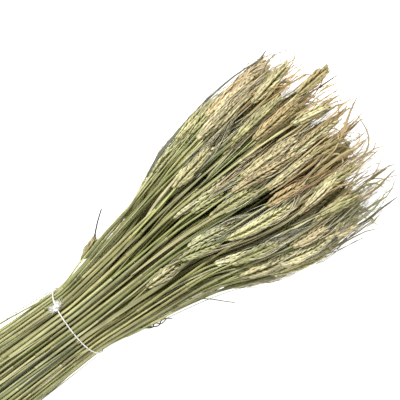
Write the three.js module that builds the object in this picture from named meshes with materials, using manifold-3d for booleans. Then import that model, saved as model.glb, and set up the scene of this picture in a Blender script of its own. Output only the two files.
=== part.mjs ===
// A bundle of dried bearded wheat, lying on its side and held by one string tie.
// Millimetres, +Z up, resting on z = 0. The stalks run along X: cut ends at -X, ears at +X.
// While it is built, x = 0 is at the tie. The last step moves the origin to the middle of the base.
//
// The outer stalks, a short stray one, the longer dry leaves and the string are single pieces.
// The stalks inside are too many for that, so they are taken together in eight handfuls.
import * as THREE from 'three';
import { mergeVertices } from 'three/addons/utils/BufferGeometryUtils.js';
import Module from 'manifold-3d';

// ---------------------------------------------------------------- driving sizes

const STRAW_RADIUS = 2.2; // a stem inside its dry leaf sheath
const EAR_RADIUS = 5.4;
const EAR_SHOULDER = 13; // from an ear's base to its full width
const EAR_TAPER = 30; // from its full width to its tip
const TIP_RADIUS = 1.1;
const STRAW_SIDES = 6;

const GAP = 0.35; // clear space between neighbours
const CORE_GAP = 0.6; // clear space between the handfuls and what lies on them

const CUT_END = -230; // the cut ends, measured from the tie
const CUT_SCATTER = 7; // how unevenly they were cut
const CUT_DRIFT = 0.14; // how far the upper stalks stray round the bundle on the way, in radians
const TIE_FROM = -13; // the string runs between these two
const TIE_TO = 0;
const HEAD_FROM = 84; // the stations are evenly spaced from here on
const HEAD_STEP = 24;
const HEAD_STEPS = 13;

const UNDER_STALKS = 19; // outer stalks on the sides and underside, beside the ones listed below
const FIRST_TURN = -0.12; // where the first outer stalk leaves the tie, in radians from +Y
const HANDFUL_COLUMNS = [-0.98, -0.5, 0, 0.5, 0.98]; // where the handfuls meet, across the width
const HANDFUL_ENDS = [340, 372, 372, 352]; // where each column's ears end
const DOME = 2.3; // how square the bundle's top is in section: 2 is an ellipse
const BASE = 3; // and its underside, pressed flat by its own weight
const WAIST = 0.42; // height of the widest line, as a share of the height

const STRING_RADIUS = 0.8;
const STRING_GAP = 0.55; // between the string and the stalks that it holds
const STRING_BOW = 10; // how far the string sags towards the cut ends over the top
const KNOT = { y: 27, length: 5.2, width: 4.4, height: 2.2 };
const TAIL = { length: 11, radius: 0.9, rise: 0.12, turns: [-0.88, 0.46] };

// The inner stalks' outline: half width, middle, underside and top at some places along x.
const CORE = [
  { x: -230, half: 45, middle: 0, under: 5.2, top: 59 },
  { x: -110, half: 41, middle: 0, under: 5.2, top: 58 },
  { x: TIE_FROM, half: 38.5, middle: 1, under: 7.4, top: 58 },
  { x: TIE_TO, half: 38.5, middle: 1, under: 7.4, top: 58 },
  { x: 55, half: 46, middle: 1, under: 5.4, top: 63 },
  { x: 108, half: 58, middle: 5, under: 8, top: 70 },
  { x: 156, half: 69, middle: 8, under: 11, top: 77 },
  { x: 204, half: 86, middle: 3, under: 12, top: 84 },
  { x: 252, half: 97, middle: 1, under: 12, top: 90 },
  { x: 300, half: 102, middle: 2, under: 12, top: 95 },
  { x: 396, half: 104, middle: 4, under: 12, top: 97 },
];

// The ears that show on top, from one side of the bundle to the other: the base and the tip
// of each, as [x, y] from the tie, and how far it is lifted over the stalks beneath it.
const SHOWN_EARS = [
  { base: [163, 81], tip: [221, 95], lift: 0 },
  { base: [270, 99], tip: [328, 103], lift: 0 },
  { base: [220, 89], tip: [287, 103], lift: 4 },
  { base: [248, 80], tip: [315, 85], lift: 0 },
  { base: [293, 82], tip: [356, 93], lift: 2 },
  { base: [253, 57], tip: [329, 67], lift: 6 },
  { base: [172, 51], tip: [233, 67], lift: 3 },
  { base: [338, 57], tip: [389, 63], lift: 0 },
  { base: [313, 42], tip: [367, 27], lift: 0 },
  { base: [171, 24], tip: [217, 20], lift: 0 },
  { base: [219, 18], tip: [306, 7], lift: 7 },
  { base: [184, 9], tip: [248, 2], lift: 3 },
  { base: [302, -2], tip: [359, -11], lift: 2 },
  { base: [145, 0], tip: [199, -16], lift: 0 },
  { base: [129, -7], tip: [181, -22], lift: 0 },
  { base: [239, -18], tip: [293, -25], lift: 3 },
  { base: [82, -10], tip: [130, -17], lift: 0 },
  { base: [292, -35], tip: [348, -44], lift: 3 },
  { base: [281, -60], tip: [333, -72], lift: 3 },
  { base: [171, -43], tip: [231, -61], lift: 5 },
  { base: [235, -75], tip: [286, -80], lift: 2 },
  { base: [267, -83], tip: [317, -97], lift: 0 },
  { base: [171, -61], tip: [228, -80], lift: 4 },
  { base: [170, -77], tip: [225, -96], lift: 0 },
];

// The short stalk that stands away beside the bundle, with its thin ear.
const STRAY = { base: [40, 55], tip: [77, 63], radius: 3.8, height: 38 };

// One outer stalk whose cut end has sprung away from the others.
const SPRUNG = { stalk: 2, out: 25 };

// The longer dry leaves: points of the blade as [x, y], how far its tip rises over its foot,
// and half its greatest width.
const LEAVES = [
  { path: [[156, 92], [204, 104], [252, 113], [300, 122], [334, 116], [349, 108]], rise: 12, half: 2.2 },
  { path: [[300, 106], [324, 112], [345, 118]], rise: 4, half: 1.8 },
  { path: [[320, 50], [350, 48], [389, 48]], rise: 6, half: 2.0 },
  { path: [[340, 6], [353, 7], [391, 22]], rise: 10, half: 2.2 },
  { path: [[306, -70], [340, -80], [378, -68]], rise: 4, half: 2.0 },
  { path: [[300, -84], [334, -90], [366, -98]], rise: -12, half: 2.0 },
];
const LEAF_THICKNESS = 0.5; // half of it, at the midrib
const LEAF_TIP = 0.5;

const STRAW_COLOURS = ['#a39d68', '#8f8e5c', '#b3aa74', '#9a9a62', '#7f8053'];
const INNER_COLOURS = ['#8b8758', '#979162'];
const LEAF_COLOURS = ['#6f6f4c', '#7d7a4a', '#6d7f45', '#b08b52', '#a58a5c', '#8a8350'];
const STRING_COLOUR = '#e9e7dd';

// ---------------------------------------------------------------- the bundle's outline

const { lerp, clamp, smoothstep, seededRandom } = THREE.MathUtils;
seededRandom(41);

const STATIONS = [CUT_END, -120, -45, TIE_FROM, TIE_TO, 40];
for (let i = 0; i <= HEAD_STEPS; i++) STATIONS.push(HEAD_FROM + i * HEAD_STEP);
const TIE_INDEX = STATIONS.indexOf(TIE_TO);

const coreSizes = new THREE.CubicInterpolant(
  CORE.map((row) => row.x),
  CORE.flatMap((row) => [row.half, row.middle, row.under, row.top]),
  4,
);

function coreAt(x) {
  const [half, middle, under, top] = coreSizes.evaluate(x);
  return { half, middle, under, top, waist: lerp(under, top, WAIST) };
}

const power = (value, exponent) => Math.sign(value) * Math.abs(value) ** exponent;

// The point at some turn round the inner stalks, moved straight outwards by a distance.
// A turn of 0 is at +Y and a quarter turn is on top.
function besideCore(x, turn, distance = 0) {
  const core = coreAt(x);
  const squareness = Math.sin(turn) > 0 ? DOME : BASE;
  const reach = Math.sin(turn) > 0 ? core.top - core.waist : core.waist - core.under;
  const across = power(Math.cos(turn), 2 / squareness);
  const up = power(Math.sin(turn), 2 / squareness);
  const outY = power(across, squareness - 1) / core.half;
  const outZ = power(up, squareness - 1) / reach;
  const out = distance / Math.hypot(outY, outZ);
  return { y: core.middle + across * core.half + outY * out, z: core.waist + up * reach + outZ * out };
}

// The turn at which something on top of the bundle has a given y.
function turnAt(x, y) {
  const core = coreAt(x);
  const across = clamp((y - core.middle) / (core.half + EAR_RADIUS + GAP), -0.995, 0.995);
  return Math.acos(power(across, DOME / 2));
}

// Turns that share out the length of the tie's outline evenly, starting under the +Y side.
function evenTurns(count, start) {
  const fine = 1440;
  const lengths = [0];
  let last = besideCore(TIE_TO, start, STRAW_RADIUS);
  for (let i = 1; i <= fine; i++) {
    const next = besideCore(TIE_TO, start + (i / fine) * 2 * Math.PI, STRAW_RADIUS);
    lengths.push(lengths[i - 1] + Math.hypot(next.y - last.y, next.z - last.z));
    last = next;
  }
  return Array.from({ length: count }, (_, k) => {
    const wanted = (k / count) * lengths[fine];
    return start + (lengths.findIndex((length) => length >= wanted) / fine) * 2 * Math.PI;
  });
}

// ---------------------------------------------------------------- the handfuls of inner stalks

const ARC_STEPS = 3;

// One handful's section: two corners on the waist line, then its stretch of the outline.
function handfulSection(x, column, top) {
  const core = coreAt(x);
  const side = top ? 1 : -1;
  const squareness = top ? DOME : BASE;
  const reach = top ? core.top - core.waist : core.waist - core.under;
  const limit = (k) => {
    const share = HANDFUL_COLUMNS[column + k];
    const inset = Math.abs(share) > 0.9 ? 0 : ((k === 0 ? 1 : -1) * GAP) / 2 / core.half;
    return share + inset;
  };
  const turns = [limit(1), limit(0)].map((share) => Math.acos(power(share, squareness / 2)));
  const arc = Array.from({ length: ARC_STEPS + 1 }, (_, k) => {
    const turn = lerp(turns[0], turns[1], k / ARC_STEPS);
    return {
      y: core.middle + core.half * power(Math.cos(turn), 2 / squareness),
      z: core.waist + side * reach * Math.sin(turn) ** (2 / squareness),
    };
  });
  const waist = core.waist + (side * GAP) / 2;
  const corners = [{ y: arc[ARC_STEPS].y, z: waist }, { y: arc[0].y, z: waist }];
  return top ? [...corners, ...arc] : [...corners, ...arc].reverse();
}

const centreOf = (section) => ({
  y: section.reduce((sum, p) => sum + p.y, 0) / section.length,
  z: section.reduce((sum, p) => sum + p.z, 0) / section.length,
});

// A closed skin over sections of equally many points: a capped cylinder, bent onto them.
function skin(sections) {
  const sides = sections[0].points.length;
  const rows = sections.length - 1;
  const geometry = new THREE.CylinderGeometry(1, 1, 1, sides, rows);
  geometry.deleteAttribute('normal');
  geometry.deleteAttribute('uv');
  const places = geometry.getAttribute('position');
  for (let i = 0; i < places.count; i++) {
    const [a, height, b] = [places.getX(i), places.getY(i), places.getZ(i)];
    const { x, points } = sections[Math.round((0.5 + height) * rows)];
    const spoke = (Math.round((Math.atan2(a, b) / (2 * Math.PI)) * sides) + sides) % sides;
    const point = Math.hypot(a, b) < 0.5 ? centreOf(points) : points[spoke];
    places.setXYZ(i, x, point.y, point.z);
  }
  return mergeVertices(geometry, 1e-3);
}

function handful(column, top) {
  const end = HANDFUL_ENDS[column];
  const xs = [...STATIONS.filter((x) => x < end - HEAD_STEP / 2), end];
  return skin(xs.map((x, i) => {
    const points = handfulSection(x, column, top);
    const middle = centreOf(points);
    const keep = i === xs.length - 1 ? 0.7 : 1; // the ears close in over the end
    return { x, points: points.map((p) => ({
      y: lerp(middle.y, p.y, keep),
      z: lerp(middle.z, p.z, keep),
    })) };
  }));
}

// The outline that the handfuls make together at each station, anticlockwise.
const outlines = STATIONS.map((x) => {
  const columns = [3, 2, 1, 0];
  const upper = columns.flatMap((column) => handfulSection(x, column, true).slice(2));
  const lower = [...columns].reverse().flatMap((column) => handfulSection(x, column, false).slice(0, -2));
  return [...upper, ...lower];
});

// ---------------------------------------------------------------- strands: stalks and leaves

// A strand runs along the bundle from one station to another. At each it has a round
// envelope of some radius about (y, z), an aim that it is drawn to, and it may be held there.
function makeStrand(name, first, last, radiusAt, aimAt, heldAt) {
  const strand = { name, first, last, radius: [], y: [], z: [], aim: [], held: [] };
  for (let i = first; i <= last; i++) {
    strand.radius[i] = radiusAt(STATIONS[i]);
    strand.aim[i] = aimAt(STATIONS[i], i);
    strand.y[i] = strand.aim[i].y;
    strand.z[i] = strand.aim[i].z;
    strand.held[i] = heldAt(i);
  }
  return strand;
}

const stationAfter = (x) => STATIONS.findIndex((station) => station >= x);
const stationBefore = (x) => STATIONS.findLastIndex((station) => station <= x);

function stalkRadius(x, base, tip, full) {
  if (x <= base) return STRAW_RADIUS;
  const opening = lerp(STRAW_RADIUS, full, smoothstep(x, base, base + EAR_SHOULDER));
  const closing = lerp(TIP_RADIUS, full, Math.sqrt(clamp((tip - x) / EAR_TAPER, 0, 1)));
  return Math.min(opening, closing);
}

function moveAlong(strand, i, dy, dz) {
  if (strand.held[i]) return;
  strand.y[i] += dy;
  strand.z[i] += dz;
}

// Draws a strand towards its aim, and straightens it.
function relax(strand, pull, stiffness) {
  for (let i = strand.first; i <= strand.last; i++) {
    moveAlong(strand, i, pull * (strand.aim[i].y - strand.y[i]), pull * (strand.aim[i].z - strand.z[i]));
    if (i === strand.first || i === strand.last) continue;
    const share = (STATIONS[i] - STATIONS[i - 1]) / (STATIONS[i + 1] - STATIONS[i - 1]);
    const straightY = lerp(strand.y[i - 1], strand.y[i + 1], share);
    const straightZ = lerp(strand.z[i - 1], strand.z[i + 1], share);
    moveAlong(strand, i, stiffness * (straightY - strand.y[i]), stiffness * (straightZ - strand.z[i]));
  }
}

// Parts two strands between stations i and i + 1, at one place t from 0 to 1.
function partAt(a, b, i, t) {
  const dy = lerp(b.y[i] - a.y[i], b.y[i + 1] - a.y[i + 1], t);
  const dz = lerp(b.z[i] - a.z[i], b.z[i + 1] - a.z[i + 1], t);
  const apart = Math.hypot(dy, dz) || 1e-6;
  const wanted = lerp(a.radius[i] + b.radius[i], a.radius[i + 1] + b.radius[i + 1], t) + GAP;
  if (apart >= wanted) return;
  const push = (0.5 * (wanted - apart)) / apart / ((1 - t) ** 2 + t ** 2);
  for (const [end, weight] of [[i, 1 - t], [i + 1, t]]) {
    moveAlong(a, end, -dy * push * weight, -dz * push * weight);
    moveAlong(b, end, dy * push * weight, dz * push * weight);
  }
}

function part(a, b) {
  for (let i = Math.max(a.first, b.first); i < Math.min(a.last, b.last); i++) {
    const startY = b.y[i] - a.y[i];
    const startZ = b.z[i] - a.z[i];
    const runY = b.y[i + 1] - a.y[i + 1] - startY;
    const runZ = b.z[i + 1] - a.z[i + 1] - startZ;
    const nearest = -(startY * runY + startZ * runZ) / (runY ** 2 + runZ ** 2 + 1e-9);
    for (const t of [0, clamp(nearest, 0, 1), 1]) partAt(a, b, i, t);
  }
}

// Keeps a strand out of the handfuls, and on or above the surface.
function clearHandfuls(strand) {
  for (let i = strand.first; i <= strand.last; i++) {
    const outline = outlines[i];
    let best = { distance: -Infinity };
    outline.forEach((p, k) => {
      const q = outline[(k + 1) % outline.length];
      const length = Math.hypot(q.y - p.y, q.z - p.z);
      if (length < 1e-6) return;
      const out = { y: (q.z - p.z) / length, z: (p.y - q.y) / length };
      const distance = (strand.y[i] - p.y) * out.y + (strand.z[i] - p.z) * out.z;
      if (distance > best.distance) best = { distance, out };
    });
    const short = strand.radius[i] + CORE_GAP - best.distance;
    if (short > 0) moveAlong(strand, i, short * best.out.y, short * best.out.z);
    moveAlong(strand, i, 0, Math.max(0, strand.radius[i] - strand.z[i]));
  }
}

const SETTLING = [
  { rounds: 240, pull: 0.1, stiffness: 0.3 },
  { rounds: 120, pull: 0.02, stiffness: 0.1 },
  { rounds: 400, pull: 0, stiffness: 0 },
];

// Settles strands among themselves and around the ones that are held.
function settle(loose, held = []) {
  for (const { rounds, pull, stiffness } of SETTLING) {
    for (let round = 0; round < rounds; round++) {
      loose.forEach((strand) => relax(strand, pull, stiffness));
      loose.forEach((a, k) => [...loose.slice(k + 1), ...held].forEach((b) => part(a, b)));
      loose.forEach(clearHandfuls);
    }
  }
}

// ---------------------------------------------------------------- the stalks

const number = (k) => String(k + 1).padStart(2, '0');

// A stalk held by the tie at one turn, whose ear lies at turns given at its base and tip.
function makeStalk(name, tieTurn, ear, sprungOut = 0) {
  const cutDrift = Math.max(0, Math.sin(tieTurn)) * CUT_DRIFT * (seededRandom() - 0.5);
  const turnOf = (x) => {
    if (x <= TIE_TO) return tieTurn + cutDrift * clamp(x / CUT_END, 0, 1);
    if (x < ear.base) return lerp(tieTurn, ear.baseTurn, smoothstep(x, TIE_TO, ear.base));
    return lerp(ear.baseTurn, ear.tipTurn, (x - ear.base) / (ear.tip - ear.base));
  };
  const radiusAt = (x) => stalkRadius(x, ear.base, ear.tip, ear.radius);
  const aimAt = (x) => {
    const lift = ear.lift * smoothstep(x, ear.base - 60, ear.base);
    const point = besideCore(x, turnOf(x), radiusAt(x) + CORE_GAP + lift);
    const sprung = sprungOut * clamp(x / CUT_END, 0, 1);
    return { y: point.y + sprung, z: Math.max(point.z, radiusAt(x)) };
  };
  const tied = (i) => STATIONS[i] >= TIE_FROM && STATIONS[i] <= TIE_TO;
  const strand = makeStrand(name, 0, stationAfter(ear.tip), radiusAt, aimAt, tied);
  return { ...strand, ear, cut: CUT_END + CUT_SCATTER * seededRandom() };
}

const shownCount = SHOWN_EARS.length;
const outerCount = shownCount + UNDER_STALKS + 1;
const tieTurns = evenTurns(outerCount, FIRST_TURN);

// The first turn is the stray stalk's, the next ones carry the ears on top.
const shownStalks = SHOWN_EARS.map(({ base, tip, lift }, k) => {
  const ear = {
    base: base[0],
    tip: tip[0],
    baseTurn: turnAt(...base),
    tipTurn: turnAt(...tip),
    radius: EAR_RADIUS,
    lift,
  };
  const sprungOut = k === SPRUNG.stalk ? SPRUNG.out : 0;
  return makeStalk(`wheat_stalk_${number(k)}`, tieTurns[k + 1], ear, sprungOut);
});

// The rest follow round the underside. Their ears start at steps of a golden share of the
// head's length, so that no two neighbours lie abreast.
const UNDER_EARS = { first: 150, spread: 140, length: 66, lengthSpread: 16, share: 0.618 };
const underStalks = Array.from({ length: UNDER_STALKS }, (_, k) => {
  const turn = tieTurns[shownCount + 1 + k];
  const base = UNDER_EARS.first + UNDER_EARS.spread * ((k * UNDER_EARS.share) % 1);
  const tip = base + UNDER_EARS.length + UNDER_EARS.lengthSpread * (seededRandom() - 0.5);
  const drift = 0.1 * (seededRandom() - 0.5);
  return makeStalk(`wheat_stalk_${number(shownCount + k)}`, turn, {
    base,
    tip,
    baseTurn: turn + drift,
    tipTurn: turn + 2 * drift,
    radius: EAR_RADIUS,
    lift: 0,
  });
});

// The stray stalk leaves the tie on its side and leans out past the others.
function makeStray() {
  const { base, tip, radius, height } = STRAY;
  const stalk = makeStalk('stray_stalk', tieTurns[0], {
    base: base[0],
    tip: tip[0],
    baseTurn: 0,
    tipTurn: 0,
    radius,
    lift: 0,
  });
  for (let i = TIE_INDEX + 1; i <= stalk.last; i++) {
    const share = (STATIONS[i] - base[0]) / (tip[0] - base[0]);
    stalk.aim[i] = { y: lerp(base[1], tip[1], share), z: height };
    stalk.y[i] = stalk.aim[i].y;
    stalk.z[i] = stalk.aim[i].z;
  }
  return stalk;
}

const stalks = [...shownStalks, ...underStalks, makeStray()];
settle(stalks);
stalks.forEach((stalk) => stalk.held.fill(true));

// ---------------------------------------------------------------- the leaves

// A place against one stalk at a station, on the side where there is most room.
function seatOn(stalk, i, radius) {
  const reach = stalk.radius[i] + radius + GAP;
  let best = { room: -Infinity };
  for (let k = 0; k < 24; k++) {
    const turn = (k / 24) * 2 * Math.PI;
    const place = { y: stalk.y[i] + reach * Math.cos(turn), z: stalk.z[i] + reach * Math.sin(turn) };
    const others = stalks.filter((other) => other !== stalk && other.last >= i);
    const room = Math.min(...others.map((other) => (
      Math.hypot(other.y[i] - place.y, other.z[i] - place.z) - other.radius[i]
    )));
    const above = place.z - coreAt(STATIONS[i]).waist;
    if (above > 0 && room > best.room) best = { room, place };
  }
  return best.place;
}

function makeLeaf({ path, rise, half }, k) {
  const first = stationAfter(path[0][0]);
  const tip = path.at(-1)[0];
  const route = new THREE.CubicInterpolant(path.map((p) => p[0]), path.map((p) => p[1]), 1);
  const footY = route.evaluate(STATIONS[first])[0];
  const farness = (stalk) => Math.abs(stalk.y[first] - footY) - stalk.z[first] / 2;
  const carriers = stalks.filter((stalk) => stalk.last > first);
  carriers.sort((a, b) => farness(a) - farness(b));
  const radiusAt = (x) => {
    const share = clamp((x - STATIONS[first]) / (tip - STATIONS[first]), 0, 1);
    return lerp(LEAF_TIP, half, Math.sin(Math.PI * share ** 0.7) ** 0.6);
  };
  const seat = seatOn(carriers[0], first, radiusAt(STATIONS[first]));
  const aimAt = (x, i) => (i === first ? seat : {
    y: route.evaluate(Math.min(x, tip))[0],
    z: seat.z + rise * clamp((x - STATIONS[first]) / (tip - STATIONS[first]), 0, 1),
  });
  const atFoot = (i) => i === first;
  const strand = makeStrand(`dry_leaf_${k + 1}`, first, stationAfter(tip), radiusAt, aimAt, atFoot);
  return { ...strand, tip };
}

const leaves = LEAVES.map(makeLeaf);
settle(leaves, stalks);

// ---------------------------------------------------------------- solids

const bundle = new THREE.Group();

function addPiece(name, geometry, colour, roughness) {
  const material = new THREE.MeshStandardMaterial({ color: colour, roughness, metalness: 0 });
  const mesh = new THREE.Mesh(geometry, material);
  mesh.name = name;
  bundle.add(mesh);
}

// Where a strand is at any x, between its stations or a little before the first of them.
function placeOn(strand, x) {
  const i = clamp(stationBefore(x), strand.first, strand.last - 1);
  const share = (x - STATIONS[i]) / (STATIONS[i + 1] - STATIONS[i]);
  return { y: lerp(strand.y[i], strand.y[i + 1], share), z: lerp(strand.z[i], strand.z[i + 1], share) };
}

function stalkSolid(stalk) {
  const { base, tip, radius: full } = stalk.ear;
  const inner = STATIONS.filter((x, i) => i > 0 && x < tip && Math.abs(x - base) > 1);
  const xs = [stalk.cut, ...inner, base, tip].sort((a, b) => a - b);
  return skin(xs.map((x) => {
    const middle = placeOn(stalk, x);
    const radius = stalkRadius(x, base, tip, full);
    const points = Array.from({ length: STRAW_SIDES }, (_, k) => {
      const turn = -Math.PI / 2 + (k / STRAW_SIDES) * 2 * Math.PI;
      return { y: middle.y + radius * Math.cos(turn), z: middle.z + radius * Math.sin(turn) };
    });
    return { x, points };
  }));
}

// A leaf is a thin blade, widest along the bundle's skin, with a low midrib.
function leafSolid(leaf) {
  const xs = [...STATIONS.filter((x, i) => i >= leaf.first && x < leaf.tip), leaf.tip];
  return skin(xs.map((x, k) => {
    const { y, z } = placeOn(leaf, x);
    const { half, middle, waist, top } = coreAt(x);
    const out = new THREE.Vector2((y - middle) / half, (z - waist) / (top - waist)).normalize();
    const reach = k === xs.length - 1 ? LEAF_TIP : leaf.radius[leaf.first + k];
    const thick = Math.min(reach, LEAF_THICKNESS);
    const corner = (across, up) => ({
      y: y - out.y * across + out.x * up,
      z: z + out.x * across + out.y * up,
    });
    return { x, points: [corner(0, -thick), corner(-reach, 0), corner(0, thick), corner(reach, 0)] };
  }));
}

const wasm = await Module();
wasm.setup();

function toSolid(geometry) {
  const bare = geometry.clone();
  bare.deleteAttribute('normal');
  bare.deleteAttribute('uv');
  const merged = mergeVertices(bare, 1e-3);
  return new wasm.Manifold(new wasm.Mesh({
    numProp: 3,
    vertProperties: merged.getAttribute('position').array,
    triVerts: new Uint32Array(merged.index.array),
  }));
}

function toGeometry(solid) {
  const mesh = solid.getMesh();
  const geometry = new THREE.BufferGeometry();
  geometry.setAttribute('position', new THREE.BufferAttribute(mesh.vertProperties, 3));
  geometry.setIndex(new THREE.BufferAttribute(mesh.triVerts, 1));
  return geometry;
}

// The string goes once round the stalks, sagging towards the cut ends over the top.
const stringReach = CORE_GAP + 2 * STRAW_RADIUS + STRING_GAP + STRING_RADIUS;
const stringX = (turn) => -1 - STRING_BOW * Math.max(0, Math.sin(turn)) ** 0.8;

function stringLoop() {
  const ring = 10;
  const geometry = new THREE.TorusGeometry(ring, STRING_RADIUS, 6, 48);
  const places = geometry.getAttribute('position');
  for (let i = 0; i < places.count; i++) {
    const [a, b, along] = [places.getX(i), places.getY(i), places.getZ(i)];
    const turn = Math.atan2(b, a);
    const point = besideCore(TIE_TO, turn, stringReach + Math.hypot(a, b) - ring);
    places.setXYZ(i, stringX(turn) + along, point.y, point.z);
  }
  return geometry;
}

// The knot lies on top, a little to one side, with its two short tails.
function stringTie() {
  const turn = turnAt(TIE_TO, KNOT.y);
  const on = besideCore(TIE_TO, turn, stringReach + KNOT.height - STRING_RADIUS);
  const under = besideCore(TIE_TO, turn, 0);
  const along = new THREE.Vector3(1, 0, 0);
  const out = new THREE.Vector3(0, on.y - under.y, on.z - under.z).normalize();
  const stand = new THREE.Matrix4().makeBasis(along, out.clone().cross(along), out);
  stand.setPosition(stringX(turn), on.y, on.z);

  const lump = new THREE.IcosahedronGeometry(1, 1);
  lump.scale(KNOT.length, KNOT.width, KNOT.height).applyMatrix4(stand);
  const tails = TAIL.turns.map((tailTurn) => {
    const tail = new THREE.ConeGeometry(TAIL.radius, TAIL.length, 6);
    tail.translate(0, TAIL.length / 2, 0).rotateX(TAIL.rise);
    return tail.rotateZ(tailTurn).applyMatrix4(stand);
  });
  const pieces = [stringLoop(), lump, ...tails].map(toSolid);
  return pieces.reduce((whole, piece) => whole.add(piece));
}

HANDFUL_ENDS.forEach((_, column) => {
  addPiece(`inner_stalks_top_${column + 1}`, handful(column, true), INNER_COLOURS[0], 0.8);
  addPiece(`inner_stalks_under_${column + 1}`, handful(column, false), INNER_COLOURS[1], 0.8);
});
stalks.forEach((stalk, k) => {
  addPiece(stalk.name, stalkSolid(stalk), STRAW_COLOURS[k % STRAW_COLOURS.length], 0.7);
});
leaves.forEach((leaf, k) => addPiece(leaf.name, leafSolid(leaf), LEAF_COLOURS[k], 0.8));
addPiece('string_tie', toGeometry(stringTie()), STRING_COLOUR, 0.9);

const box = new THREE.Box3().setFromObject(bundle);
const middle = box.getCenter(new THREE.Vector3());
bundle.position.set(-middle.x, -middle.y, -box.min.z);

export default bundle;
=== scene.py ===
"""A bundle of dried bearded wheat, lying down and held by one string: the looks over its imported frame.

Sizes are millimetres until a mesh is made. x runs from the cut ends to the ears, as in the frame.
A stalk is first made in a straight space of its own, where x runs along it and a and b lie across
it, and is then bent onto the middle line of its CAD node.
"""

from collections import namedtuple

import bpy
import numpy as np
from mathutils import Euler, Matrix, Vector


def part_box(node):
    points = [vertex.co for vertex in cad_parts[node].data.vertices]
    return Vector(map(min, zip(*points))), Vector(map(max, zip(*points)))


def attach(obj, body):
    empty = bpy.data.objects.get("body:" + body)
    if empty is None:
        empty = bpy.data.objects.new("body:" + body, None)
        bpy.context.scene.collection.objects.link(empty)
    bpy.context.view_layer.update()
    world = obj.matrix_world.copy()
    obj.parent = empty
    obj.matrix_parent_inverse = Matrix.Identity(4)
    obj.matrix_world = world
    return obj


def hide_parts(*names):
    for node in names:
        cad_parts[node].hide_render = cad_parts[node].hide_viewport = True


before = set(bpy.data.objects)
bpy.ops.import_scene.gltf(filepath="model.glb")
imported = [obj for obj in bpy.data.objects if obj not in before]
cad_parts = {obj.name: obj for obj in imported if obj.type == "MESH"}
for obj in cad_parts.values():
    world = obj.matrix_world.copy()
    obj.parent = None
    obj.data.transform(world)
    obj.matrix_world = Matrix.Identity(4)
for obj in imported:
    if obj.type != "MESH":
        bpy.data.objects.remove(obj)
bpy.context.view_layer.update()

# ------------ driving sizes

METRE = 1000.0
TIE = np.array([-80.5, -7.7])  # the middle of the tie in the frame
SIDE_LIMIT = 122.0  # no stalk or blade reaches further to either side
TOP_LIMIT = 123.0  # or higher
FLOOR_CLEAR = 0.25
TUBE_CLEAR = 0.1  # the same for round tubes, as the string's plies are
ASKEW = [0.94, 0.2, 0.28]  # a way that no round tube runs, from which its sides are set out
CURVE_STEP = 2.0  # between the points of the curves along the bundle
CURVES_END = 342.0
SAME_SECTION = 0.07  # points of a CAD solid this near to each other along x lie in one section

STRAW_SIDES = 9
STREAKS = 0.23  # how much a straw's sides differ in shade
STRAW_TWIST = 0.008  # how fast the streaks wind round it, at most, in radians for each millimetre
STRAW_STEP = 15.0
SHEATH_RADIUS = 2.15
BARE_RADIUS = 1.45
JOINT_RADIUS = 2.3
COLLAR_RADIUS = 2.35
HOLLOW = 0.58  # the hole in a straw, as a share of its radius
HOLLOW_DEPTH = 9.0
TOP_INTERNODE = (160.0, 260.0)  # from the ear down to the first joint
INTERNODE = (140.0, 210.0)
SHEATHED = (0.4, 0.78)  # the share of an internode inside its leaf sheath
LOWEST_COLLAR = 20.0  # a sheath that ends nearer to the cut than this has no blade
STRAW_SIZES = (0.55, 1.12)
STRAW_TAPER = 0.18  # how much thinner a straw is up among the ears
TAPERED = (10.0, 130.0)  # the stretch over which it gets so
STRAY_STRAW = 0.55
SHADED_AT = (-40.0, 40.0, 170.0)  # below the tie, above it and among the ears
OUTER_STRAW_PAINTED_SHADES = (1.07, 0.84, 1.38)  # painted light and shade on the outer straws at these places: darker above the tie, lighter among the ears

SPIKELET_PITCH = 2.9
FEWEST_SPIKELETS = 8
HUSK_SIDES = 5
HUSK_ROWS = np.array([0.0, 0.15, 0.4, 0.66, 0.86, 1.0])
HUSK_PROFILE = np.array([0.42, 0.84, 1.0, 0.82, 0.46, 0.06])
RACHIS_RADIUS = 1.5
EAR_ROLL = 0.55  # most ears lie on their broad side, give or take this turn, in radians
OUTER_EARS = (1.04, 1.22)  # their width, as a share of what HUSKS says
INNER_EARS = (0.98, 1.2)
STRAY_EAR = 1.2

AWN_SIDES = 3
AWN_ROWS = np.array([0.0, 0.12, 0.3, 0.52, 0.76, 1.0])
AWN_RADIUS = 0.42
AWN_LENGTH = (36.0, 70.0)
AWN_LEAST = 4.0  # the room that the last awns get, even past the head end
AWN_SHARE = 0.58  # how many of the husks that may carry an awn still have it
BARER = (175.0, 240.0)  # over this stretch the ears have fewer and fewer awns
AWN_WISPS = 5  # an ear's awns draw together into so many wisps
AWN_END = 297.0  # no awn reaches past this
ROUNDING = 36.0  # and how much sooner they end at the sides of the bundle
AWN_GRID = 6  # columns and rows of awns on the map, which no ear fills

BROWNING = (140.0, 265.0)  # where leaves, ears and awns begin to turn brown, and where they have
GREEN_SIDE = (-100.0, -40.0)  # and the same across the bundle
BROWN_SHARE = 0.62  # how many of the ears are brown where all the rest is
BROWN_EARS = ["stray_stalk", "wheat_stalk_08", "wheat_stalk_13", "wheat_stalk_16"]  # wholly so
OUTER_RUST = 0.3  # how far the other outer ears that turn brown do so
LOW_EARS = (115.0, 200.0)  # ears that end before this stretch are dull, and past it they are pale
DULL = np.array([0.72, 0.78, 0.76])

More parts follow.
